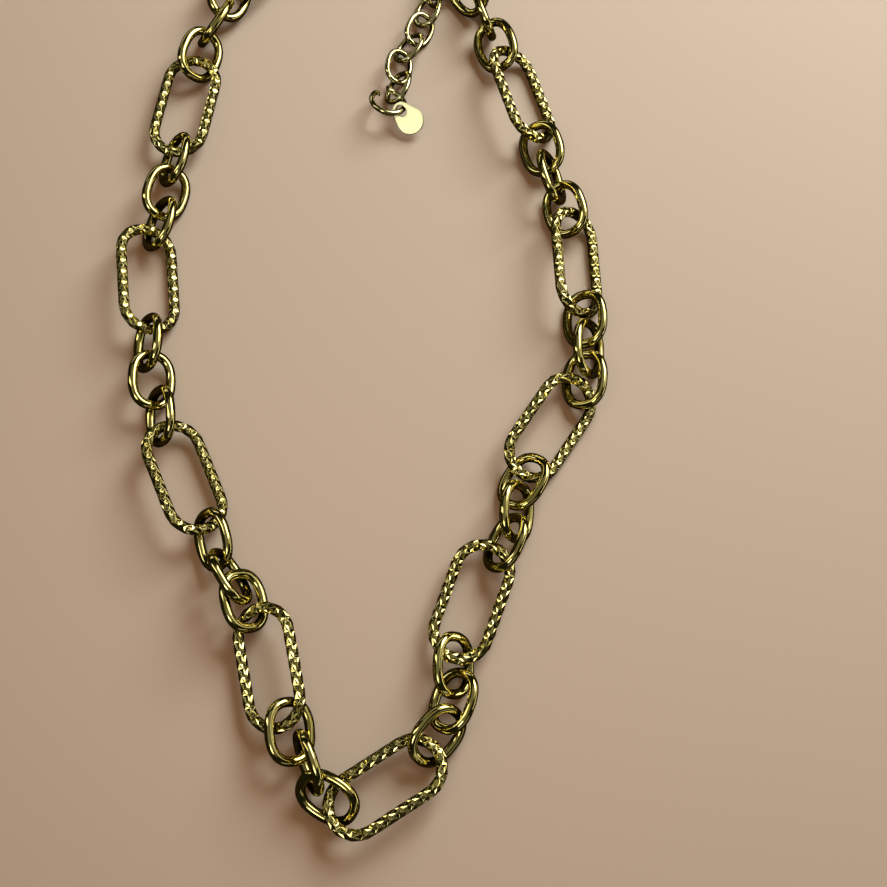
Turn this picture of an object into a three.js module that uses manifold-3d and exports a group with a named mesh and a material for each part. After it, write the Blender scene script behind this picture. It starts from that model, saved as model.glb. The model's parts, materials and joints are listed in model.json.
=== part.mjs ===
// A chain necklace laid open on a table: long textured links with three smooth oval links between
// each pair, a short extender chain with a drop tag, and a lobster clasp, unhooked, at the other end.
// Units are millimetres and +Z is up. +Y runs from the front link towards the clasp.
import * as THREE from 'three';
import Module from 'manifold-3d';
import { mergeVertices } from 'three/addons/utils/BufferGeometryUtils.js';

const wasm = await Module();
wasm.setup();

// ---- Driving dimensions -------------------------------------------------------------------------

// A link is an oblong loop of round wire: outer length, outer width and wire diameter.
const TEXTURED_LINK = { length: 22.2, width: 11.3, wire: 1.9 };
const SMOOTH_LINK = { length: 11.3, width: 8.9, wire: 1.7 };
const EXTENDER_LINK = { length: 7.6, width: 5.9, wire: 1.0 };
const END_RING = { length: 8, width: 8, wire: 1.2 };
const CLASP_RING = { length: 6.2, width: 6.2, wire: 1.0 };
const TAG_RING = { length: 7.6, width: 7.6, wire: 1.0 };

// A drop: a small round eye end and a large round body end, joined by straight sides.
const TAG = {
  thickness: 0.7,
  eyeRadius: 1.75,
  eyeHoleRadius: 1.1,
  bodyRadius: 2.6,
  bodyDistance: 2.5,
  pitch: 16,
  roll: 24,
};

// The clasp lies along +X from the middle of its eye. Its body is an oval with an oval opening.
const CLASP = {
  thickness: 3.4,
  outer: { x: 6.9, radiusX: 5.5, radiusY: 3.5 },
  opening: { x: 7.9, radiusX: 3.3, radiusY: 1.9 },
  mouth: { start: 5.6, end: 10.3 },
  eye: { radius: 1.75, holeRadius: 1.0, thickness: 1.3 },
  slot: { start: 1.9, floor: -0.9, width: 2.2 },
  pivot: { x: 3.8, y: 1.2 },
  pin: { radius: 0.4, length: 3.3, clearance: 0.3 },
  lever: { thickness: 1.1, lift: -0.3, hubRadius: 1.2, gap: 0.35, opening: { radiusX: 4.2, radiusY: 2.1 } },
  thumb: { x: 4.9, y: 3.5, radius: 1.0 },
  spring: { wire: 0.24, lift: 0.7, innerRadius: 0.8, outerRadius: 1.5, turns: 1.75 },
  pitch: 6,
};

const WIRE_GAP = 0.42;        // kept between the wires of neighbouring links
const TIP_SHARE = 0.25;       // how far a tip reaches into the next small link, in link spacings
const WIRE_SIDES = 8;
const ROUND_SEGMENTS = 20;
const LOOP_SAMPLES = 72;      // points on a loop when gaps are measured
const SETTLING_ROUNDS = 900;
const SINKING_ROUNDS = 500;   // the rounds in which the links also sink towards the table
const SINKING_STEP = 0.02;
const HOLDING = 0.04;         // how much of its drift a sinking link makes good in each round

const RAD = Math.PI / 180;

// ---- Materials ----------------------------------------------------------------------------------

const gold = (color, roughness) => new THREE.MeshStandardMaterial({ color, roughness, metalness: 1 });
const FINISHES = {
  textured: () => gold(0xc9a84e, 0.32),
  smooth: () => gold(0xcfae55, 0.14),
  extender: () => gold(0xdcc26c, 0.16),
  ring: () => gold(0xd6b961, 0.16),
  tag: () => gold(0xe6d68c, 0.28),
  clasp: () => gold(0xcdab52, 0.18),
  spring: () => gold(0x9a9a98, 0.3),
};

// ---- Loops of wire ------------------------------------------------------------------------------

// The centre line is two half circles joined by two straight sides, in the loop's own XY plane
// with its long axis on X. bend is the half circles' radius and reach the distance to a tip.
function centreLine({ length, width, wire }) {
  return { bend: (width - wire) / 2, straight: length - width, reach: (length - wire) / 2 };
}

// The point and the outward normal a fraction t of the way round, counted from the +X tip.
function pointOnLoop(size, t) {
  const { bend, straight } = centreLine(size);
  const arc = bend * Math.PI / 2;
  const turn = ((t % 1) + 1) % 1 * 4;
  const quadrant = Math.floor(turn);
  const fromTip = quadrant % 2 === 0 ? turn - quadrant : 1 - turn + quadrant;
  const walked = fromTip * (arc + straight / 2);
  const angle = Math.min(walked, arc) / bend;
  const mirrorX = quadrant === 1 || quadrant === 2 ? -1 : 1;
  const mirrorY = quadrant >= 2 ? -1 : 1;
  const along = straight / 2 - Math.max(walked - arc, 0);
  const normal = new THREE.Vector2(Math.cos(angle) * mirrorX, Math.sin(angle) * mirrorY);
  const point = new THREE.Vector2(along * mirrorX, 0).addScaledVector(normal, bend);
  return { point, normal };
}

// A torus is one closed surface, so a loop is a torus reshaped to the oblong centre line.
function wireLoop(size, segments) {
  const torusRadius = 10;
  const geometry = new THREE.TorusGeometry(torusRadius, size.wire / 2, WIRE_SIDES, segments);
  const position = geometry.getAttribute('position');
  for (let i = 0; i < position.count; i++) {
    const x = position.getX(i);
    const y = position.getY(i);
    const { point, normal } = pointOnLoop(size, Math.atan2(y, x) / (2 * Math.PI));
    point.addScaledVector(normal, Math.hypot(x, y) - torusRadius);
    position.setXY(i, point.x, point.y);
  }
  geometry.computeVertexNormals();
  return geometry;
}

// ---- The lay of the chain on the table ----------------------------------------------------------

// Textured links and rings are laid by the place of their middle on the table, the heading of their
// long axis away from the front link, and their roll, positive when the side to the left of the
// heading is raised.
const textured = (x, y, heading, roll) =>
  ({ kind: 'textured', size: TEXTURED_LINK, segments: 24, x, y, heading, roll });
const ring = (size, x, y, heading, roll) =>
  ({ kind: 'ring', size, segments: 16, x, y, heading, roll });

// The small links between them come in runs, spread from one tip to the next. Each is laid by its
// heading, its roll and how far it lies to the left of the straight line between the two tips.
const smooth = (heading, roll, sway) =>
  ({ kind: 'smooth', size: SMOOTH_LINK, segments: 16, heading, roll, sway });
const extender = (heading, roll, sway) =>
  ({ kind: 'extender', size: EXTENDER_LINK, segments: 14, heading, roll, sway });

const FRONT_LINK = textured(-7, -57.5, 32, -10);

const LEFT_STRAND = [
  [smooth(150, -32, 1.5), smooth(111, -72, -1.5), smooth(97, 30, -3.5)],
  textured(-31, -42, 102, -18),
  [smooth(105, 38, -1), smooth(122, 72, -0.5), smooth(107, -42, 0.5)],
  textured(-46, -7, 114, 23),
  [smooth(97, -48, -0.5), smooth(92, 35, 1.5), smooth(90, -48, 1)],
  textured(-55, 31, 97, 30),
  [smooth(78, -45, -3), smooth(76, 35, -1.5), smooth(80, -48, -1)],
  textured(-50, 67, 80, 0),
  [smooth(72, 42, 0), smooth(62, -60, -1), smooth(72, 38, -0.5)],
  textured(-37, 101, 52, 0),
  [smooth(28, -50, 0.5), smooth(8, 42, 2), smooth(-10, -42, 1)],
];

const RIGHT_STRAND = [
  [smooth(50, 35, 2.5), smooth(70, -35, 0), smooth(88, 42, 0)],
  textured(5, -29, 70, 0),
  [smooth(66, -50, -2), smooth(85, 50, -2), smooth(60, -30, -1.5)],
  textured(19, 2.5, 56, 20),
  [smooth(85, -32, -1), smooth(88, 50, -1), smooth(90, -33, -0.5)],
  textured(25, 33.5, 93, 38),
  [smooth(105, -35, 1), smooth(103, 60, 1.5), smooth(105, -30, 0.5)],
  textured(15.5, 69.5, 108, 36),
  [smooth(110, -33, 1), smooth(108, 75, -0.5), smooth(125, -50, 0)],
];

const CLASP_RING_LAY = ring(CLASP_RING, -9, 110, -12, 75);
const END_RING_LAY = ring(END_RING, 1, 97.5, 229, 8);
const TAG_RING_LAY = ring(TAG_RING, -11, 68, -38, -24);
const CLASP_HEADING = -8;
const TAG_HEADING = -45;

const EXTENDER = [
  [extender(-105, -60, 0), extender(-105, 28, 0), extender(-115, -32, 0),
    extender(-120, 32, -0.5), extender(-100, -32, -1), extender(-108, 40, 1)],
];

// How far above its rest each kind starts, so that every loop starts threaded through the next.
const START_CLEARANCE = { textured: 1.6, smooth: 0, extender: 1, ring: 2 };

const restHeight = ({ size, roll }) =>
  centreLine(size).bend * Math.abs(Math.sin(roll * RAD)) + size.wire / 2;

const links = [];

function layLink(name, lay, parent) {
  const rotation = new THREE.Euler(lay.roll * RAD, 0, lay.heading * RAD, 'ZYX');
  const height = restHeight(lay) + START_CLEARANCE[lay.kind];
  const loop = [];
  for (let i = 0; i < LOOP_SAMPLES; i++) {
    const { point } = pointOnLoop(lay.size, i / LOOP_SAMPLES);
    loop.push(new THREE.Vector3(point.x, point.y, 0).applyEuler(rotation));
  }
  const link = { name, lay, parent, rotation, loop, position: new THREE.Vector3(lay.x, lay.y, height) };
  links.push(link);
  return link;
}

function tipOnTable({ size, x, y, heading }, side) {
  const reach = side * centreLine(size).reach;
  return new THREE.Vector2(x + reach * Math.cos(heading * RAD), y + reach * Math.sin(heading * RAD));
}

// Where a run from this point arrives at a link: at its near tip, or at a ring's near side.
function arrival(lay, from) {
  if (lay.kind !== 'ring') {
    return tipOnTable(lay, -1);
  }
  const middle = new THREE.Vector2(lay.x, lay.y);
  return from.clone().sub(middle).setLength(centreLine(lay.size).reach).add(middle);
}

// Spreads a run of small links between two points on the table.
function spread(run, from, to) {
  const line = to.clone().sub(from);
  const left = new THREE.Vector2(-line.y, line.x).normalize();
  return run.map((lay, i) => {
    const share = (TIP_SHARE + i) / (run.length - 1 + 2 * TIP_SHARE);
    const { x, y } = from.clone().addScaledVector(line, share).addScaledVector(left, lay.sway);
    return { ...lay, x, y };
  });
}

// Lays a strand link by link from one side of its first link, and ends it with the ring.
function layStrand(prefix, strand, first, side, ringName, ringLay) {
  const counts = {};
  let parent = first;
  let from = tipOnTable(first.lay, side);
  const lay = (one) => {
    counts[one.kind] = (counts[one.kind] ?? 0) + 1;
    const number = String(counts[one.kind]).padStart(one.kind === 'smooth' ? 2 : 1, '0');
    const kind = one.kind === 'extender' ? '' : `${one.kind}_`;
    parent = layLink(`${prefix}_${kind}link_${number}`, one, parent);
  };
  strand.forEach((part, i) => {
    if (Array.isArray(part)) {
      spread(part, from, arrival(strand[i + 1] ?? ringLay, from)).forEach(lay);
    } else {
      lay(part);
      from = tipOnTable(part, 1);
    }
  });
  return layLink(ringName, ringLay, parent);
}

const frontLink = layLink('front_textured_link', FRONT_LINK, null);
const claspRing = layStrand('left', LEFT_STRAND, frontLink, -1, 'clasp_ring', CLASP_RING_LAY);
const endRing = layStrand('right', RIGHT_STRAND, frontLink, 1, 'end_ring', END_RING_LAY);
const tagRing = layStrand('extender', EXTENDER, endRing, 1, 'tag_ring', TAG_RING_LAY);

// How far b must move from a for their wires to keep the gap where they come closest.
function separation(a, b) {
  const wanted = (a.lay.size.wire + b.lay.size.wire) / 2 + WIRE_GAP;
  const offset = b.position.clone().sub(a.position);
  if (offset.length() > (a.lay.size.length + b.lay.size.length) / 2 + WIRE_GAP) {
    return null;
  }
  const between = new THREE.Vector3();
  const closest = new THREE.Vector3();
  let least = wanted;
  for (const p of a.loop) {
    for (const q of b.loop) {
      between.copy(q).add(offset).sub(p);
      const distance = between.length();
      if (distance < least) {
        least = distance;
        closest.copy(between);
      }
    }
  }
  return least < wanted ? closest.setLength(wanted - least) : null;
}

// Neighbours that come too close are pushed apart, and no link goes through the table.
function settle() {
  for (let round = 0; round < SETTLING_ROUNDS; round++) {
    let moved = false;
    for (let i = 0; i < links.length; i++) {
      for (let j = i + 1; j < links.length; j++) {
        const push = separation(links[i], links[j]);
        if (push) {
          links[i].position.addScaledVector(push, -0.5);
          links[j].position.addScaledVector(push, 0.5);
          moved = true;
        }
      }
    }
    const sinking = round < SINKING_ROUNDS;
    for (const link of links) {
      const { lay, position } = link;
      if (sinking) {
        position.x += HOLDING * (lay.x - position.x);
        position.y += HOLDING * (lay.y - position.y);
        position.z -= SINKING_STEP;
      }
      position.z = Math.max(position.z, restHeight(lay));
    }
    if (!moved && !sinking) {
      return;
    }
  }
}

settle();

// ---- Joints -------------------------------------------------------------------------------------

// A piece swings about the parent's wire at the point nearest to where it hangs.
function hingeOn(parent, hangingPoint) {
  const along = (t) => {
    const { point } = pointOnLoop(parent.lay.size, t);
    return new THREE.Vector3(point.x, point.y, 0).applyEuler(parent.rotation).add(parent.position);
  };
  const steps = 720;
  let nearest = 0;
  for (let i = 1; i < steps; i++) {
    if (along(i / steps).distanceTo(hangingPoint) < along(nearest / steps).distanceTo(hangingPoint)) {
      nearest = i;
    }
  }
  const axis = along((nearest + 1) / steps).sub(along((nearest - 1) / steps)).normalize();
  return { parent: parent.name, at: along(nearest / steps), axis };
}

const tipOf = (link, side) =>
  new THREE.Vector3(side * centreLine(link.lay.size).reach, 0, 0)
    .applyEuler(link.rotation).add(link.position);

// ---- Solids -------------------------------------------------------------------------------------

function solidOf(geometry) {
  const bare = geometry.index ? geometry.clone() : geometry;
  bare.deleteAttribute('normal');
  bare.deleteAttribute('uv');
  const merged = mergeVertices(bare);
  return new wasm.Manifold(new wasm.Mesh({
    numProp: 3,
    vertProperties: merged.getAttribute('position').array,
    triVerts: new Uint32Array(merged.index.array),
  }));
}

function geometryOf(solid) {
  const { vertProperties, triVerts } = solid.getMesh();
  const geometry = new THREE.BufferGeometry();
  geometry.setAttribute('position', new THREE.BufferAttribute(vertProperties, 3));
  geometry.setIndex(new THREE.BufferAttribute(triVerts, 1));
  geometry.computeVertexNormals();
  return geometry;
}

// A slab of the given outline, its middle plane at height lift.
function slab(shape, thickness, lift = 0) {
  const options = { depth: thickness, bevelEnabled: false, curveSegments: ROUND_SEGMENTS };
  return solidOf(new THREE.ExtrudeGeometry(shape, options).translate(0, 0, lift - thickness / 2));
}

const oval = (x, y, radiusX, radiusY = radiusX) =>
  new THREE.Shape().absellipse(x, y, radiusX, radiusY, 0, 2 * Math.PI);

function rectangle(x0, y0, x1, y1) {
  return new THREE.Shape([[x0, y0], [x1, y0], [x1, y1], [x0, y1]].map(([x, y]) => new THREE.Vector2(x, y)));
}

function tagSolid() {
  const { thickness, eyeRadius, eyeHoleRadius, bodyRadius, bodyDistance } = TAG;
  // The straight sides touch both circles, so both arcs end at the same angle.
  const tangent = Math.PI / 2 + Math.asin((bodyRadius - eyeRadius) / bodyDistance);
  const outline = new THREE.Shape();
  outline.absarc(bodyDistance, 0, bodyRadius, -tangent, tangent);
  outline.absarc(0, 0, eyeRadius, tangent, 2 * Math.PI - tangent);
  outline.closePath();
  return slab(outline, thickness).subtract(slab(oval(0, 0, eyeHoleRadius), thickness * 2));
}

function claspBodySolid() {
  const { thickness, outer, opening, mouth, eye, slot, pivot, pin } = CLASP;
  const far = outer.x + outer.radiusX;
  const frame = slab(oval(outer.x, 0, outer.radiusX, outer.radiusY), thickness)
    .add(slab(oval(0, 0, eye.radius), eye.thickness))
    .add(slab(rectangle(0, -eye.radius / 2, outer.x / 2, eye.radius / 2), eye.thickness));
  return frame
    .subtract(slab(oval(opening.x, 0, opening.radiusX, opening.radiusY), thickness * 2))
    .subtract(slab(rectangle(mouth.start, 0.6, mouth.end, far), thickness * 2))
    .subtract(slab(rectangle(slot.start, slot.floor, mouth.start, far), slot.width))
    .subtract(slab(oval(pivot.x, pivot.y, pin.radius + pin.clearance), thickness * 2))
    .subtract(slab(oval(0, 0, eye.holeRadius), thickness * 2));
}

// The lever's arm follows the body's outline and closes its mouth up to a small gap.
function claspLeverSolid() {
  const { outer, mouth, pivot, pin, lever, thumb } = CLASP;
  const tip = mouth.end - lever.gap;
  const piece = (shape) => slab(shape, lever.thickness, lever.lift);
  const cutter = (shape) => slab(shape, lever.thickness * 2, lever.lift);
  return piece(oval(outer.x, 0, outer.radiusX, outer.radiusY))
    .subtract(cutter(oval(outer.x, 0, lever.opening.radiusX, lever.opening.radiusY)))
    .intersect(cutter(rectangle(pivot.x, 0.9, tip, outer.radiusY)))
    .add(piece(oval(pivot.x, pivot.y, lever.hubRadius)))
    .add(piece(oval(thumb.x, thumb.y, thumb.radius)))
    .subtract(cutter(oval(pivot.x, pivot.y, pin.radius + pin.clearance)));
}

function claspPinGeometry() {
  const { pivot, pin } = CLASP;
  return new THREE.CylinderGeometry(pin.radius, pin.radius, pin.length, ROUND_SEGMENTS)
    .rotateX(Math.PI / 2).translate(pivot.x, pivot.y, 0);
}

// A flat spiral of wire round the pin.
class SpringSpiral extends THREE.Curve {
  getPoint(t, target = new THREE.Vector3()) {
    const { pivot, spring } = CLASP;
    const angle = t * spring.turns * 2 * Math.PI;
    const radius = THREE.MathUtils.lerp(spring.innerRadius, spring.outerRadius, t);
    return target.set(pivot.x + radius * Math.cos(angle), pivot.y + radius * Math.sin(angle), spring.lift);
  }
}

function claspSpringGeometry() {
  const section = oval(0, 0, CLASP.spring.wire / 2);
  return new THREE.ExtrudeGeometry(section, {
    steps: 36,
    curveSegments: 6,
    bevelEnabled: false,
    extrudePath: new SpringSpiral(),
  });
}

// ---- Assembly -----------------------------------------------------------------------------------

const necklace = new THREE.Group();

function addPiece(parent, name, geometry, finish, joint = null) {
  const mesh = new THREE.Mesh(geometry, FINISHES[finish]());
  mesh.name = name;
  mesh.userData.joint = joint;
  parent.add(mesh);
  return mesh;
}

for (const link of links) {
  const joint = link.parent && hingeOn(link.parent, tipOf(link, -1));
  const loop = wireLoop(link.lay.size, link.lay.segments);
  const mesh = addPiece(necklace, link.name, loop, link.lay.kind, joint);
  mesh.position.copy(link.position);
  mesh.rotation.copy(link.rotation);
}

// Hangs a group by its origin on the far tip of a ring.
function hangOn(link, { pitch, roll = 0 }, heading) {
  const hung = new THREE.Group();
  hung.position.copy(tipOf(link, 1));
  hung.rotation.set(roll * RAD, pitch * RAD, heading * RAD, 'ZYX');
  necklace.add(hung);
  return hung;
}

const tagPlace = hangOn(tagRing, TAG, TAG_HEADING);
addPiece(tagPlace, 'drop_tag', geometryOf(tagSolid()), 'tag', hingeOn(tagRing, tipOf(tagRing, 1)));

const claspPlace = hangOn(claspRing, CLASP, CLASP_HEADING);
const claspJoint = hingeOn(claspRing, tipOf(claspRing, 1));
addPiece(claspPlace, 'clasp_body', geometryOf(claspBodySolid()), 'clasp', claspJoint);
addPiece(claspPlace, 'clasp_pin', claspPinGeometry(), 'clasp');
addPiece(claspPlace, 'clasp_spring', claspSpringGeometry(), 'spring');
claspPlace.updateMatrixWorld(true);
addPiece(claspPlace, 'clasp_lever', geometryOf(claspLeverSolid()), 'clasp', {
  parent: 'clasp_body',
  at: new THREE.Vector3(CLASP.pivot.x, CLASP.pivot.y, 0).applyMatrix4(claspPlace.matrixWorld),
  axis: new THREE.Vector3(0, 0, -1).transformDirection(claspPlace.matrixWorld),
});

// The middle of the necklace's footprint goes to the origin, on the table.
const footprint = new THREE.Box3().setFromObject(necklace, true);
const middle = footprint.getCenter(new THREE.Vector3()).setZ(footprint.min.z);
necklace.position.copy(middle).negate();

export default necklace;
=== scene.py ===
"""A gold chain necklace laid open on a table: its looks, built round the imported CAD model.

Everything is in metres, in the CAD model's own frame: +Z is up, +Y runs from the front link to
the clasp. Each link's place, direction and size are read from its CAD node.
"""

import json
import math

import bmesh
import bpy
import numpy as np
from mathutils import Matrix, Vector


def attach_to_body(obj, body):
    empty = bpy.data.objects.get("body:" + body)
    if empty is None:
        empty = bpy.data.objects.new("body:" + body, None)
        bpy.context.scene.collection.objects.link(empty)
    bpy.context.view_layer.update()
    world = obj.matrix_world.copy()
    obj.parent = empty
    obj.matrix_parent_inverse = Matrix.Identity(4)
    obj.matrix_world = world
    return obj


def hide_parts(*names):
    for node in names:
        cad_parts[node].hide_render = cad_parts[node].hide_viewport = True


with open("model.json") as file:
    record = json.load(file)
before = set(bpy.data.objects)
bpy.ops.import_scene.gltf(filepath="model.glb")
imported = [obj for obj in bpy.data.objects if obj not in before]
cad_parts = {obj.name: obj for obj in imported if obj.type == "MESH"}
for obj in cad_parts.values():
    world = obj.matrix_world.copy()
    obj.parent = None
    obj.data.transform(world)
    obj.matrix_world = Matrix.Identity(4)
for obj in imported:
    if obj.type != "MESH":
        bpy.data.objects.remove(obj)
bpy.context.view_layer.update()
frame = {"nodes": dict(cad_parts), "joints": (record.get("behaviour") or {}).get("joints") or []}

MM = 0.001

# ---- Driving dimensions --------------------------------------------------------------------------

# The textured links.
FACET_PITCH = 2.2 * MM          # from one cut facet to the next like it, along the wire
FACET_SIDES = 6                 # facets round the wire
FACET_RISE = 0.42               # the share of the pitch from a valley ring to a crest ring
CORNER_RADIUS = 1.07            # the facets' corners, in half wires
HAND_CUT = 0.012                # how unevenly the facets are cut, in half wires and in sides
HAND_CUT_ALONG = 1.5            # and along the wire this many times more, in pitches
FACET_HOLLOW = 0.10 * MM        # how far each facet's middle is scooped out
FACET_BEVEL = 0.04 * MM         # the worn edge between two facets

# The smooth links and the rings.
ROUND_LOOP = 1.02               # a loop counts as round below this ratio of length to width
OVAL = 2.4                      # a smooth link's shape: 2 is an ellipse, more is squarer
WIRE_STEP = 0.28 * MM           # between the stations of a smooth wire
WIRE_SIDES = 28
TAG_RING_GAP = 22               # degrees left open in the sprung ring of the tag
TAG_RING_GAP_AT = 205           # and where that gap is, from the tip that holds the tag
TAG_RING_SPREAD = 0.7 * MM      # each end's sideways shift there
TAG_RING_STIFFNESS = 15         # an odd power: the higher, the nearer to its ends the ring bends
TAG_RING_EDGE = 0.08 * MM       # the rounding of its cut ends

# The tag's own frame has its origin in the middle of the eye, in millimetres, with +X to its body.
TAG = {
    "thickness": 0.64,
    "eye": 1.75,                            # radius of the small end
    "hole": (1.2, 0.92),                    # half length and half width
    "body": 2.6,                            # radius of the large end
    "distance": 2.5,                        # between the middles of the two ends
    "edge": 0.1,                            # rounding
}

# The clasp's own frame has its origin in the middle of the eye, in millimetres, with +X towards
# the claw's far end and the lever on the +Y side. An oval is its middle's x and its two radii.
CLASP = {
    "pivot": (3.8, 1.2),                    # x, y
    "outer": (6.9, 5.5, 3.5),               # the oval round claw and lever
    "opening": (7.9, 3.3, 1.9),             # the oval inside the claw
    "mouth": (5.6, 10.3),                   # the x where the claw stops, near and far
    "thickness": 3.3,
    "claw_edge": 0.62,                      # rounding
    "eye": (1.4, 0.42, 0.66),               # ring radius, half width and half height of its wire
    "neck": (1.25, 0.8, 2.6, 1.2),          # x and half width at the eye, then at the claw
    "neck_thickness": 1.5,
    "slot": (1.9, -0.9, 2.1),               # start x, floor y and width of the lever's slot
    "slot_top": 6,                          # a y clear of the claw
    "lever": (1.05, -0.3),                  # thickness, and its shift along the pivot
    "lever_opening": (6.9, 4.2, 2.1),       # the oval inside the lever
    "lever_tip": 9.95,                      # x
    "lever_edge": 0.3,                      # rounding of the lever and the neck
    "hub": 1.15,                            # radius
    "hub_extra": 0.06,                      # how much thicker than the lever it is
    "hub_edge": 0.15,
    "thumb": (4.9, 3.55, 1.0),              # x, y and half length of the thumb pad
    "thumb_squash": 0.9,                    # its half width, in half lengths
    "thumb_extra": 0.1,                     # how much thicker than the lever it is
    "thumb_edge": 0.4,
    "rivet": (0.8, 1.66, 0.3),              # head radius, half length between heads, dome height
    "shank": 0.4,                           # radius
    "spring": (0.12, 0.7, 0.8, 1.5, 1.75),  # wire radius, height, inner and outer radius, turns
}

# Points along the curves of the tag and the clasp.
TAG_BODY_STEPS = 72
TAG_EYE_STEPS = 40
TAG_HOLE_STEPS = 48
CLAW_STEPS = 72
OPENING_STEPS = 56
EYE_STEPS = 56
EYE_SIDES = 20
LEVER_STEPS = 28
HUB_STEPS = 48
THUMB_STEPS = 36
RIVET_SIDES = 32
DOME_ANGLES = (0, 25, 50, 70, 85)
SPRING_STEPS = 110
SPRING_SIDES = 12

# The gold.
# Painted shade: where other metal is near, the gold's colour turns towards a near-black tone, standing in
# for the shade in crevices and between links.
CREVICE_SHADE_REACH = 2.2 * MM        # how near another surface has to be for the painted shade to darken this one
CREVICE_SHADE_TONE = (0.06, 0.045, 0.012)
CREVICE_SHADE_OPENNESS = (0.3, 0.85)  # fully painted shade below the first, unshaded above the second
CREVICE_SHADE_SAMPLES = 6
TONE_PATCHES = 420              # the four noises' scales, per metre: paler and deeper patches,
FINISH_PATCHES = 1500           # glossier and duller patches,
WAVES = 520                     # the wavy surface
SCRATCHES = 2600                # and the hairline scratches
SCRATCH_STRETCH = (1, 1, 6)
WAVE_HEIGHT = 0.12 * MM
SCRATCH_DEPTH = 0.01 * MM
TONE_SPREAD = (0.35, 0.65)      # the noise values at which a patch is fully deep or fully pale
FINISH_SPREAD = (0.3, 0.7)      # and fully glossy or fully dull

# ---- Reading the CAD model -----------------------------------------------------------------------


def cad_points(node):
    """A CAD node's distinct vertices, one row each."""
    mesh = frame["nodes"][node].data
    flat = np.zeros(len(mesh.vertices) * 3)
    mesh.vertices.foreach_get("co", flat)
    return np.unique(flat.reshape(-1, 3).round(8), axis=0)


def unit(vector):
    return vector / np.linalg.norm(vector)


joint_of = {joint["child"]: joint for joint in frame["joints"]}


class Loop:
    """A CAD loop of wire: its middle, its axes and its outer length, outer width and wire."""

    def __init__(self, node):
        points = cad_points(node)
        self.middle = points.mean(axis=0)
        offsets = points - self.middle
        along, across, up = np.linalg.svd(offsets, full_matrices=False)[2]
        if up[2] < 0:
            up = -up
        if node in joint_of:
            heading = self.middle - np.array(joint_of[node]["pos_m"])
            if np.ptp(offsets @ along) < ROUND_LOOP * np.ptp(offsets @ across):
                along = unit(heading - up * (heading @ up))
            if heading @ along < 0:
                along = -along
        # +X runs on along the chain, from the joint that holds the loop
        self.along = along
        self.up = up
        self.across = np.cross(up, along)
        self.length = np.ptp(offsets @ self.along)
        self.width = np.ptp(offsets @ self.across)
        self.wire = np.ptp(offsets @ self.up)

    def place(self, x, y, z=0.0):
        return self.middle + x * self.along + y * self.across + z * self.up

    def on_oval(self, fraction, turn, radius):
        """A point of a rounder loop of the same length and width."""
        angle = 2 * math.pi * fraction
        reach = np.array([self.length - self.wire, self.width - self.wire]) / 2
        heading = np.array([math.cos(angle), math.sin(angle)])
        share = (np.abs(heading) ** OVAL).sum() ** (-1 / OVAL)
        point = reach * heading * share
        normal = unit(np.sign(heading) * np.abs(heading * share) ** (OVAL - 1) / reach)
        return self.place(*(point + radius * math.cos(turn) * normal), radius * math.sin(turn))

    def on_wire(self, fraction, turn, radius):
        """A point of the wire: how far round the loop, the turn from the outward side, the radius."""
        bend = (self.width - self.wire) / 2
        straight = max(self.length - self.width, 0.0)
        arc = math.pi * bend
        total = 2 * (arc + straight)
        walked = (fraction * total + arc / 2) % total
        side = 1 if walked < arc + straight else -1
        walked %= arc + straight
        if walked < arc:
            angle = walked / bend - math.pi / 2
            normal = np.array([math.cos(angle), math.sin(angle)]) * side
            point = np.array([straight / 2 * side, 0.0]) + bend * normal
        else:
            normal = np.array([0.0, float(side)])
            point = np.array([(straight / 2 - (walked - arc)) * side, bend * side])
        point = point + radius * math.cos(turn) * normal
        return self.place(*point, radius * math.sin(turn))

    def nearest(self, point):
        """The centre line's nearest point to this one."""
        offset = point - self.middle
        x, y = offset @ self.along, offset @ self.across
        straight = max(self.length - self.width, 0.0) / 2
        held = min(max(x, -straight), straight)
        out = unit(np.array([x - held, y])) * (self.width - self.wire) / 2
        return self.place(held + out[0], out[1])

    def perimeter(self):
        return math.pi * (self.width - self.wire) + 2 * max(self.length - self.width, 0.0)


# ---- Mesh helpers --------------------------------------------------------------------------------


def new_piece(name, verts, faces, material, smooth=True):
    mesh = bpy.data.meshes.new(name)
    mesh.from_pydata([tuple(v) for v in verts], [], faces)
    mesh.update()
    made = bmesh.new()
    made.from_mesh(mesh)
    bmesh.ops.recalc_face_normals(made, faces=made.faces)
    made.to_mesh(mesh)
    made.free()
    mesh.polygons.foreach_set("use_smooth", [smooth] * len(mesh.polygons))
    mesh.materials.append(material)
    piece = bpy.data.objects.new(name, mesh)
    bpy.context.scene.collection.objects.link(piece)
    return piece


def bevel(piece, width, segments, angle):
    """Rounds the edges that bend by more than this angle in degrees."""
    modifier = piece.modifiers.new("edges", "BEVEL")
    modifier.width = width
    modifier.segments = segments
    modifier.limit_method = "ANGLE"
    modifier.angle_limit = math.radians(angle)
    modifier.harden_normals = True


def tube_faces(rings, sides, closed=False):
    """Faces that join each ring of points to the next."""
    faces = []
    for i in range(rings if closed else rings - 1):
        a, b = i * sides, (i + 1) % rings * sides
        for j in range(sides):
            k = (j + 1) % sides
            faces.append((a + j, b + j, b + k, a + k))
    return faces


def closed_tube(rings):
    """The vertices and faces of a tube whose last ring joins the first."""
    verts = [point for ring in rings for point in ring]
    return verts, tube_faces(len(rings), len(rings[0]), closed=True)


def capped_tube(rings):
    """The vertices and faces of a tube with a flat face at each end."""
    verts = [point for ring in rings for point in ring]
    sides = len(rings[0])
    last = len(verts) - sides
    ends = [tuple(range(sides)), tuple(range(last, len(verts)))]
    return verts, tube_faces(len(rings), sides) + ends


# ---- Materials -----------------------------------------------------------------------------------


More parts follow.
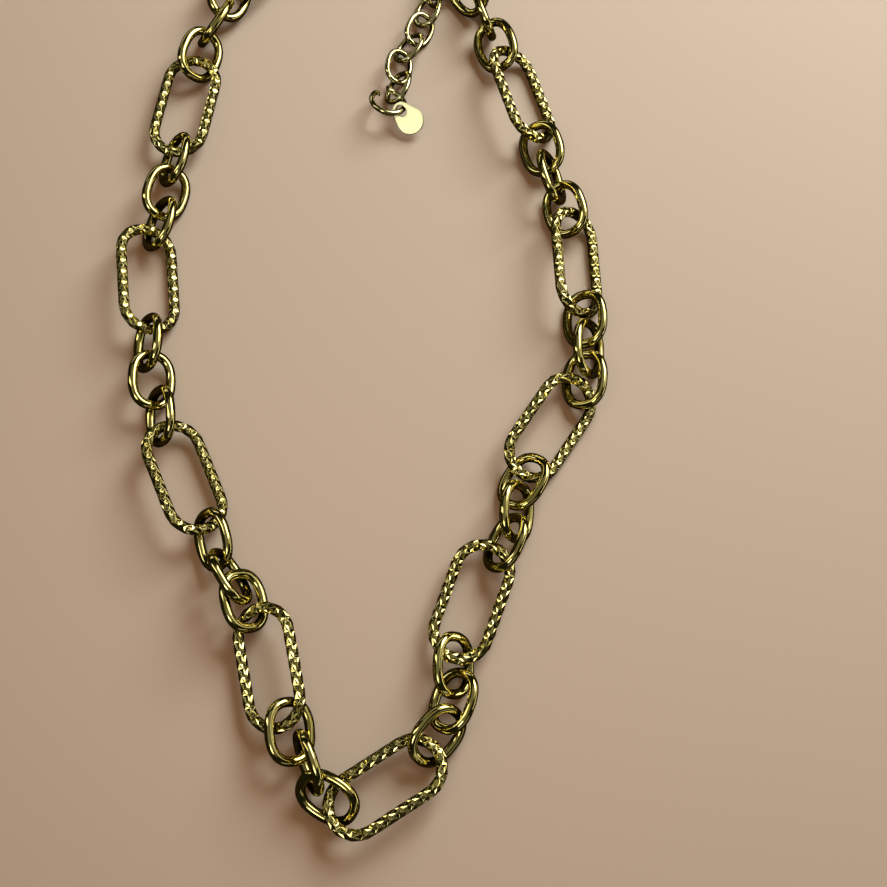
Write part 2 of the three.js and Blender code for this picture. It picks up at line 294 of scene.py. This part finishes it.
def gold(name, pale, deep, roughness, wobble, scratch=0.12, wear=0.45):
    """Polished plate: uneven tone, hairline scratches, a wavy surface and shade painted dark into its
    crevices.

    Wobble and scratch are the strengths of the waves and the scratches, and wear is how far the
    roughness strays from its middle value.
    """
    material = bpy.data.materials.new(name)
    material.use_nodes = True
    nodes, links = material.node_tree.nodes, material.node_tree.links
    shader = nodes["Principled BSDF"]
    shader.inputs["Metallic"].default_value = 1.0

    place = nodes.new("ShaderNodeTexCoord")

    def noise(scale, detail, stretch=(1, 1, 1)):
        mapping = nodes.new("ShaderNodeMapping")
        mapping.inputs["Scale"].default_value = [scale * s for s in stretch]
        texture = nodes.new("ShaderNodeTexNoise")
        texture.inputs["Scale"].default_value = 1.0
        texture.inputs["Detail"].default_value = detail
        links.new(place.outputs["Object"], mapping.inputs["Vector"])
        links.new(mapping.outputs["Vector"], texture.inputs["Vector"])
        return texture.outputs["Fac"]

    def ramp(value, low, high, start, end):
        """Turns values between low and high into values between start and end."""
        node = nodes.new("ShaderNodeMapRange")
        node.inputs["From Min"].default_value = low
        node.inputs["From Max"].default_value = high
        node.inputs["To Min"].default_value = start
        node.inputs["To Max"].default_value = end
        links.new(value, node.inputs["Value"])
        return node.outputs["Result"]

    def blend(factor, low, high):
        node = nodes.new("ShaderNodeMix")
        node.data_type = "RGBA"
        links.new(factor, node.inputs["Factor"])
        for socket, colour in (("A", low), ("B", high)):
            if isinstance(colour, tuple):
                node.inputs[socket].default_value = (*colour, 1)
            else:
                links.new(colour, node.inputs[socket])
        return node.outputs["Result"]

    tone = blend(ramp(noise(TONE_PATCHES, 3), *TONE_SPREAD, 0, 1), deep, pale)
    # painted shade: near other surfaces the base colour blends towards the near-black crevice shade tone
    crevice_shade = nodes.new("ShaderNodeAmbientOcclusion")
    crevice_shade.samples = CREVICE_SHADE_SAMPLES
    crevice_shade.inputs["Distance"].default_value = CREVICE_SHADE_REACH
    unshaded = ramp(crevice_shade.outputs["AO"], *CREVICE_SHADE_OPENNESS, 0, 1)
    links.new(blend(unshaded, CREVICE_SHADE_TONE, tone), shader.inputs["Base Color"])

    smoothest, roughest = roughness * (1 - wear), roughness * (1 + wear)
    finish = ramp(noise(FINISH_PATCHES, 4), *FINISH_SPREAD, smoothest, roughest)
    links.new(finish, shader.inputs["Roughness"])

    waves = nodes.new("ShaderNodeBump")
    waves.inputs["Strength"].default_value = wobble
    waves.inputs["Distance"].default_value = WAVE_HEIGHT
    links.new(noise(WAVES, 1), waves.inputs["Height"])
    scratches = nodes.new("ShaderNodeBump")
    scratches.inputs["Strength"].default_value = scratch
    scratches.inputs["Distance"].default_value = SCRATCH_DEPTH
    links.new(noise(SCRATCHES, 3, SCRATCH_STRETCH), scratches.inputs["Height"])
    links.new(waves.outputs["Normal"], scratches.inputs["Normal"])
    links.new(scratches.outputs["Normal"], shader.inputs["Normal"])
    return material


smooth_gold = gold(
    "smooth_gold", pale=(0.90, 0.79, 0.32), deep=(0.78, 0.65, 0.20), roughness=0.06, wobble=0.12)
textured_gold = gold(
    "textured_gold", pale=(0.93, 0.82, 0.35), deep=(0.80, 0.67, 0.21), roughness=0.07, wobble=0.16)
ring_gold = gold(
    "ring_gold", pale=(0.95, 0.88, 0.50), deep=(0.86, 0.76, 0.34), roughness=0.08, wobble=0.12)
tag_gold = gold(
    "tag_gold", pale=(0.98, 0.94, 0.56), deep=(0.96, 0.91, 0.50), roughness=0.30, wobble=0.01,
    scratch=0.02, wear=0.06)
clasp_gold = gold(
    "clasp_gold", pale=(0.88, 0.76, 0.32), deep=(0.78, 0.64, 0.22), roughness=0.12, wobble=0.25)
pin_gold = gold(
    "pin_gold", pale=(0.84, 0.72, 0.30), deep=(0.72, 0.60, 0.22), roughness=0.2, wobble=0.2)
spring_wire = gold(
    "spring_wire", pale=(0.70, 0.68, 0.63), deep=(0.60, 0.58, 0.54), roughness=0.2, wobble=0.2)

# ---- Links ---------------------------------------------------------------------------------------


def attach(piece, node, body=None):
    """Puts the piece in its CAD node's place, on the node's own body or another."""
    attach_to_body(piece, body or node)
    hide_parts(node)


WIRE_TURNS = [2 * math.pi * j / WIRE_SIDES for j in range(WIRE_SIDES)]


def smooth_link(node, material):
    """A loop of round polished wire."""
    loop = Loop(node)
    count = 4 * round(loop.perimeter() / WIRE_STEP / 4)
    radius = loop.wire / 2
    rings = [[loop.on_oval(i / count, turn, radius) for turn in WIRE_TURNS] for i in range(count)]
    piece = new_piece(node.replace("link", "wire"), *closed_tube(rings), material)
    attach(piece, node)


def facet_corners(loop, pairs, draws):
    """Rings of corners round the wire, valley and crest in turn, each crest half a side on."""
    uneven = draws.uniform(-1, 1, (2 * pairs, FACET_SIDES, 3))
    verts = []
    for i in range(2 * pairs):
        crest = i % 2
        for j in range(FACET_SIDES):
            along, round_it, depth = HAND_CUT * uneven[i, j]
            fraction = (i // 2 + FACET_RISE * crest + HAND_CUT_ALONG * along) / pairs
            turn = math.pi / 2 + 2 * math.pi / FACET_SIDES * (j + 0.5 * crest + round_it)
            verts.append(loop.on_wire(fraction, turn, loop.wire / 2 * (CORNER_RADIUS + depth)))
    return verts


def facet_faces(pairs):
    """The triangles between those rings."""
    faces = []
    for i in range(2 * pairs):
        a = FACET_SIDES * i
        b = FACET_SIDES * ((i + 1) % (2 * pairs))
        for j in range(FACET_SIDES):
            k = (j + 1) % FACET_SIDES
            # a crest's corner j stands between a valley's corners j and j + 1
            if i % 2:
                faces += [(a + j, a + k, b + k), (b + j, b + k, a + j)]
            else:
                faces += [(a + j, a + k, b + j), (b + j, b + k, a + k)]
    return faces


def textured_link(node):
    """A loop of wire cut into triangles, each scooped out a little in its middle."""
    loop = Loop(node)
    pairs = round(loop.perimeter() / FACET_PITCH)
    verts = facet_corners(loop, pairs, np.random.default_rng(sum(node.encode())))
    faces = facet_faces(pairs)
    hollowed = []
    for corners in faces:
        a, b, c = (verts[i] for i in corners)
        middle = (a + b + c) / 3
        outward = unit(np.cross(b - a, c - a))
        ring_middle = loop.nearest(middle)
        if outward @ (middle - ring_middle) < 0:
            outward = -outward
        verts.append(middle - FACET_HOLLOW * outward)
        m = len(verts) - 1
        i, j, k = corners
        hollowed += [(i, j, m), (j, k, m), (k, i, m)]
    piece = new_piece(node.replace("link", "wire"), verts, hollowed, textured_gold, smooth=False)
    bevel(piece, FACET_BEVEL, segments=2, angle=24)
    attach(piece, node)


def tag_ring(node):
    """A jump ring sprung a little open, its two ends side by side."""
    loop = Loop(node)
    count = round((1 - TAG_RING_GAP / 360) * loop.perimeter() / WIRE_STEP)
    radius = loop.wire / 2
    rings = []
    for i in range(count + 1):
        share = i / count
        angle = TAG_RING_GAP_AT + TAG_RING_GAP / 2 + share * (360 - TAG_RING_GAP)
        shift = TAG_RING_SPREAD * (2 * share - 1) ** TAG_RING_STIFFNESS * loop.up
        rings.append([loop.on_wire(angle / 360, turn, radius) + shift for turn in WIRE_TURNS])
    piece = new_piece(node.replace("ring", "jump_ring"), *capped_tube(rings), ring_gold)
    bevel(piece, TAG_RING_EDGE, segments=3, angle=50)
    attach(piece, node)


for node in list(frame["nodes"]):
    if "_textured_link" in node:
        textured_link(node)
    elif "_smooth_link" in node:
        smooth_link(node, smooth_gold)
    elif "extender_link" in node or node in ("end_ring", "clasp_ring"):
        smooth_link(node, ring_gold)
tag_ring("tag_ring")

# ---- Tag and clasp -------------------------------------------------------------------------------


class Place:
    """A right-handed frame from an origin, a rough X axis and a Z axis, lengths in millimetres."""

    def __init__(self, origin, x, z):
        self.origin, self.x, self.z = origin, unit(x - z * (x @ z)), z
        self.y = np.cross(self.z, self.x)

    def __call__(self, x, y, z=0.0):
        return self.origin + MM * (x * self.x + y * self.y + z * self.z)


def arc(x, y, radius_x, radius_y, start, end, count):
    """Points of an oval, from one angle in degrees to the other."""
    angles = np.radians(np.linspace(start, end, count))
    return [(x + radius_x * math.cos(a), y + radius_y * math.sin(a)) for a in angles]


def whole_oval(x, y, radius_x, radius_y, count):
    """Points all round an oval."""
    return arc(x, y, radius_x, radius_y, 0, 360 * (count - 1) / count, count)


def slab(place, outline, thickness, lift=0.0):
    """The vertices and faces of a flat plate with this outline."""
    count = len(outline)
    verts = [place(x, y, lift + side * thickness / 2) for side in (-1, 1) for x, y in outline]
    faces = [(i, (i + 1) % count, count + (i + 1) % count, count + i) for i in range(count)]
    faces += [tuple(range(count)), tuple(range(count, 2 * count))]
    return verts, faces


def baked(piece):
    """Leaves the piece with its modifiers' result as its own mesh."""
    bpy.context.view_layer.update()
    mesh = bpy.data.meshes.new_from_object(piece.evaluated_get(bpy.context.evaluated_depsgraph_get()))
    piece.modifiers.clear()
    piece.data = mesh
    return piece


def cut(piece, cutter):
    modifier = piece.modifiers.new("cut", "BOOLEAN")
    modifier.operation = "DIFFERENCE"
    modifier.object = cutter
    baked(piece)
    bpy.data.objects.remove(cutter)


def joined(pieces, name):
    """One piece from several that belong together."""
    made = bmesh.new()
    for piece in pieces:
        baked(piece)
        made.from_mesh(piece.data)
    made.to_mesh(pieces[0].data)
    made.free()
    for piece in pieces[1:]:
        bpy.data.objects.remove(piece)
    pieces[0].name = name
    return pieces[0]


def rounded(name, place, outline, thickness, material, width, segments=4, lift=0.0):
    """A flat plate whose edges are rounded by this width in millimetres."""
    piece = new_piece(name, *slab(place, outline, thickness, lift), material)
    bevel(piece, width * MM, segments, angle=40)
    return piece


def round_turn(count):
    """Angles once round a circle, in radians."""
    return np.linspace(0, 2 * math.pi, count, False)


def turned(place, profile, sides):
    """A solid of revolution about Z: each profile point is a radius and a height."""
    angles = round_turn(sides)
    return capped_tube([[place(r * math.cos(a), r * math.sin(a), z) for a in angles] for r, z in profile])


def drop_tag(node):
    """A flat drop: two round ends with straight sides between them, and a hole in the small end."""
    points = cad_points(node)
    origin = np.array(joint_of[node]["pos_m"])
    offsets = points - points.mean(axis=0)
    normal = np.linalg.svd(offsets, full_matrices=False)[2][2]
    place = Place(origin, points.mean(axis=0) - origin, normal if normal[2] > 0 else -normal)
    # the angle, from the large end's middle, at which the straight side leaves the arc
    tangent = 90 + math.degrees(math.asin((TAG["body"] - TAG["eye"]) / TAG["distance"]))
    outline = arc(TAG["distance"], 0, TAG["body"], TAG["body"], -tangent, tangent, TAG_BODY_STEPS)
    outline += arc(0, 0, TAG["eye"], TAG["eye"], tangent, 360 - tangent, TAG_EYE_STEPS)
    piece = new_piece("drop_tag_plate", *slab(place, outline, TAG["thickness"]), tag_gold)
    hole = whole_oval(0, 0, *TAG["hole"], TAG_HOLE_STEPS)
    right_through = 4 * TAG["thickness"]
    cut(piece, new_piece("hole", *slab(place, hole, right_through), tag_gold))
    bevel(piece, TAG["edge"] * MM, segments=3, angle=40)
    attach(piece, node)


def oval_arc(oval, start_x, end_x, turns, count):
    """Points of an oval from its upper side at one x to its upper side at another.

    With 0 turns they go the short way over the top, with -1 or 1 the long way round below.
    """
    x, radius_x, radius_y = oval
    start = math.degrees(math.acos((start_x - x) / radius_x))
    end = math.degrees(math.acos((end_x - x) / radius_x))
    return arc(x, 0, radius_x, radius_y, start, end + 360 * turns, count)


def clasp_body(place):
    """The claw with the lever's slot cut into it, its neck and its eye."""
    near, far = CLASP["mouth"]
    outline = oval_arc(CLASP["outer"], far, near, -1, CLAW_STEPS)
    outline += oval_arc(CLASP["opening"], near, far, 1, OPENING_STEPS)
    edge = CLASP["claw_edge"]
    claw = rounded("claw", place, outline, CLASP["thickness"], clasp_gold, edge, segments=5)
    baked(claw)
    start, floor_y, width = CLASP["slot"]
    top = CLASP["slot_top"]
    box = [(start, floor_y), (near, floor_y), (near, top), (start, top)]
    cut(claw, new_piece("slot", *slab(place, box, width), clasp_gold))

    ring_radius, half_width, half_height = CLASP["eye"]
    rings = []
    for a in round_turn(EYE_STEPS):
        ring = []
        for t in round_turn(EYE_SIDES):
            radius = ring_radius + half_width * math.cos(t)
            ring.append(place(radius * math.cos(a), radius * math.sin(a), half_height * math.sin(t)))
        rings.append(ring)
    eye = new_piece("eye", *closed_tube(rings), clasp_gold)

    x, half, far_x, far_half = CLASP["neck"]
    outline = [(x, -half), (far_x, -far_half), (far_x, far_half), (x, half)]
    neck = rounded("neck", place, outline, CLASP["neck_thickness"], clasp_gold, CLASP["lever_edge"])
    attach(joined([claw, eye, neck], "clasp_claw"), "clasp_body")


def clasp_lever(place):
    """The lever that closes the claw's mouth, with its hub and thumb pad."""
    thickness, lift = CLASP["lever"]
    pivot_x, pivot_y = CLASP["pivot"]
    tip = CLASP["lever_tip"]
    outline = oval_arc(CLASP["outer"], tip, pivot_x, 0, LEVER_STEPS)
    outline += oval_arc(CLASP["lever_opening"], pivot_x, tip, 0, LEVER_STEPS)
    arm = rounded("arm", place, outline, thickness, clasp_gold, CLASP["lever_edge"], 4, lift)
    outline = whole_oval(pivot_x, pivot_y, CLASP["hub"], CLASP["hub"], HUB_STEPS)
    thick = thickness + CLASP["hub_extra"]
    hub = rounded("hub", place, outline, thick, clasp_gold, CLASP["hub_edge"], 3, lift)
    x, y, half_length = CLASP["thumb"]
    half_width = half_length * CLASP["thumb_squash"]
    outline = whole_oval(x, y, half_length, half_width, THUMB_STEPS)
    thick = thickness + CLASP["thumb_extra"]
    thumb = rounded("thumb", place, outline, thick, clasp_gold, CLASP["thumb_edge"], 4, lift)
    attach(joined([arm, hub, thumb], "clasp_thumb_lever"), "clasp_lever")


def clasp_rivet(place):
    """A pin with a domed head at each end."""
    radius, reach, dome = CLASP["rivet"]
    shank = CLASP["shank"]
    head = [(radius * math.cos(a), reach + dome * math.sin(a)) for a in np.radians(DOME_ANGLES)]
    profile = [(r, -h) for r, h in reversed(head)] + [(shank, -reach), (shank, reach)] + head
    pin = new_piece("clasp_rivet", *turned(place, profile, RIVET_SIDES), pin_gold)
    attach(pin, "clasp_pin", "clasp_body")


def clasp_spring(place):
    """A flat spiral of wire round the rivet."""
    wire, height, inner, outer, turns = CLASP["spring"]
    rings = []
    for share in np.linspace(0, 1, SPRING_STEPS):
        a = share * turns * 2 * math.pi
        radius = inner + (outer - inner) * share
        ring = []
        for t in round_turn(SPRING_SIDES):
            out = radius + wire * math.cos(t)
            ring.append(place(out * math.cos(a), out * math.sin(a), height + wire * math.sin(t)))
        rings.append(ring)
    coil = new_piece("clasp_spring_wire", *capped_tube(rings), spring_wire)
    attach(coil, "clasp_spring", "clasp_body")


def clasp():
    """The clasp's own frame comes from its two joints: the eye's swing and the lever's pivot."""
    origin = np.array(joint_of["clasp_body"]["pos_m"])
    lever = joint_of["clasp_lever"]
    z = -unit(np.array(lever["axis"]))
    pivot_x, pivot_y = CLASP["pivot"]
    towards = np.array(lever["pos_m"]) - origin
    turn = Matrix.Rotation(-math.atan2(pivot_y, pivot_x), 3, Vector(z))
    place = Place(origin, np.array(turn @ Vector(towards)), z)
    at_pivot = Place(place(pivot_x, pivot_y), place.x, place.z)
    clasp_body(place)
    clasp_lever(place)
    clasp_rivet(at_pivot)
    clasp_spring(at_pivot)


drop_tag("drop_tag")
clasp()

# ---- Floor, lights and camera --------------------------------------------------------------------

# The point of the table at the middle of the picture, and the camera's place seen from it.
AIM = Vector((15.26, -23.58, 0)) * MM
CAMERA_BACK = Vector((0, -56.8, 199.6)) * MM
LENS = 46.67
FLOOR_HALF = 2.0
FLOOR_TONE = (0.61, 0.45, 0.31)
FLOOR_IN_METAL = (0.022, 0.011, 0.004)   # the metal reflects the table and the room much darker
AMBIENT = (0.24, 0.135, 0.06)
AMBIENT_IN_METAL = (0.010, 0.010, 0.005)


def two_tone(tree, plain, in_metal):
    """A colour that is darker where polished metal reflects it."""
    nodes, links = tree.nodes, tree.links
    path = nodes.new("ShaderNodeLightPath")
    tone = nodes.new("ShaderNodeMix")
    tone.data_type = "RGBA"
    tone.inputs["A"].default_value = (*plain, 1)
    tone.inputs["B"].default_value = (*in_metal, 1)
    links.new(path.outputs["Is Glossy Ray"], tone.inputs["Factor"])
    return tone.outputs["Result"]


def floor():
    half = FLOOR_HALF
    mesh = bpy.data.meshes.new("floor")
    corners = [(-half, -half, 0), (half, -half, 0), (half, half, 0), (-half, half, 0)]
    mesh.from_pydata(corners, [], [(0, 1, 2, 3)])
    material = bpy.data.materials.new("floor_paper")
    material.use_nodes = True
    tree = material.node_tree
    shader = tree.nodes["Principled BSDF"]
    shader.inputs["Roughness"].default_value = 0.9
    shader.inputs["Specular IOR Level"].default_value = 0.1
    tone = two_tone(tree, FLOOR_TONE, FLOOR_IN_METAL)
    tree.links.new(tone, shader.inputs["Base Color"])
    mesh.materials.append(material)
    ground = bpy.data.objects.new("floor", mesh)
    bpy.context.scene.collection.objects.link(ground)


def area_light(name, place, size, watts, color):
    """A rectangular lamp that faces the aim point; its place is in metres from there."""
    light = bpy.data.lights.new(name, "AREA")
    light.shape = "RECTANGLE"
    light.size, light.size_y = size
    light.energy = watts
    light.color = color
    lamp = bpy.data.objects.new(name, light)
    lamp.location = AIM + Vector(place)
    lamp.rotation_euler = (-Vector(place)).to_track_quat("-Z", "Y").to_euler()
    bpy.context.scene.collection.objects.link(lamp)
    return lamp


def softbox(name, place, size, watts, color):
    """Lights the table and casts the soft shadows."""
    area_light(name, place, size, watts, color).visible_glossy = False


def card(name, place, size, radiance, color=(1.0, 0.98, 0.90)):
    """A glowing card that only the polished metal reflects."""
    watts = radiance * math.pi * size[0] * size[1]
    lamp = area_light(name, place, size, watts, color)
    lamp.visible_diffuse = False
    lamp.visible_camera = False


floor()

# Each has its place from the aim point and its size in metres, then watts for a softbox or
# radiance for a card, and its colour.
softbox("key", (0.24, 0.35, 0.30), (0.30, 0.30), 3.9, (0.73, 0.88, 1.0))
softbox("fill", (-0.02, -0.02, 0.12), (0.08, 0.08), 0.016, (1.0, 0.93, 0.86))
card("key_card", (0.28, 0.26, 0.30), (0.30, 0.20), 5.0)
card("halo_card", (0.48, 0.34, 0.50), (0.75, 0.55), 0.55, (1.0, 0.95, 0.78))
card("top_card", (-0.08, 0.02, 0.85), (0.95, 0.95), 0.15, (1.0, 0.95, 0.75))
card("left_card", (-0.42, 0.10, 0.42), (0.09, 0.40), 2.2)
card("low_card", (0.55, 0.02, 0.07), (0.50, 0.05), 2.5)
card("tag_card", (-0.16, -0.26, 0.52), (0.17, 0.17), 3.6)
card("front_card", (0.30, -0.52, 0.26), (0.60, 0.10), 0.4, (1.0, 0.96, 0.82))
card("back_card", (-0.30, 0.60, 0.24), (0.60, 0.10), 0.9, (1.0, 0.96, 0.82))



def studio_world():
    world = bpy.data.worlds.new("studio")
    world.use_nodes = True
    tree = world.node_tree
    tone = two_tone(tree, AMBIENT, AMBIENT_IN_METAL)
    tree.links.new(tone, tree.nodes["Background"].inputs["Color"])
    bpy.context.scene.world = world
    bpy.context.scene.view_settings.view_transform = "Standard"


def photo_camera():
    """Looks down on the aim point from the front, tipped only about X."""
    camera = bpy.data.objects.new("camera", bpy.data.cameras.new("camera"))
    camera.data.lens = LENS
    camera.data.clip_start = 0.01
    camera.location = AIM + CAMERA_BACK
    camera.rotation_euler = (math.atan2(-CAMERA_BACK.y, CAMERA_BACK.z), 0, 0)
    bpy.context.scene.collection.objects.link(camera)
    bpy.context.scene.camera = camera


studio_world()
photo_camera()
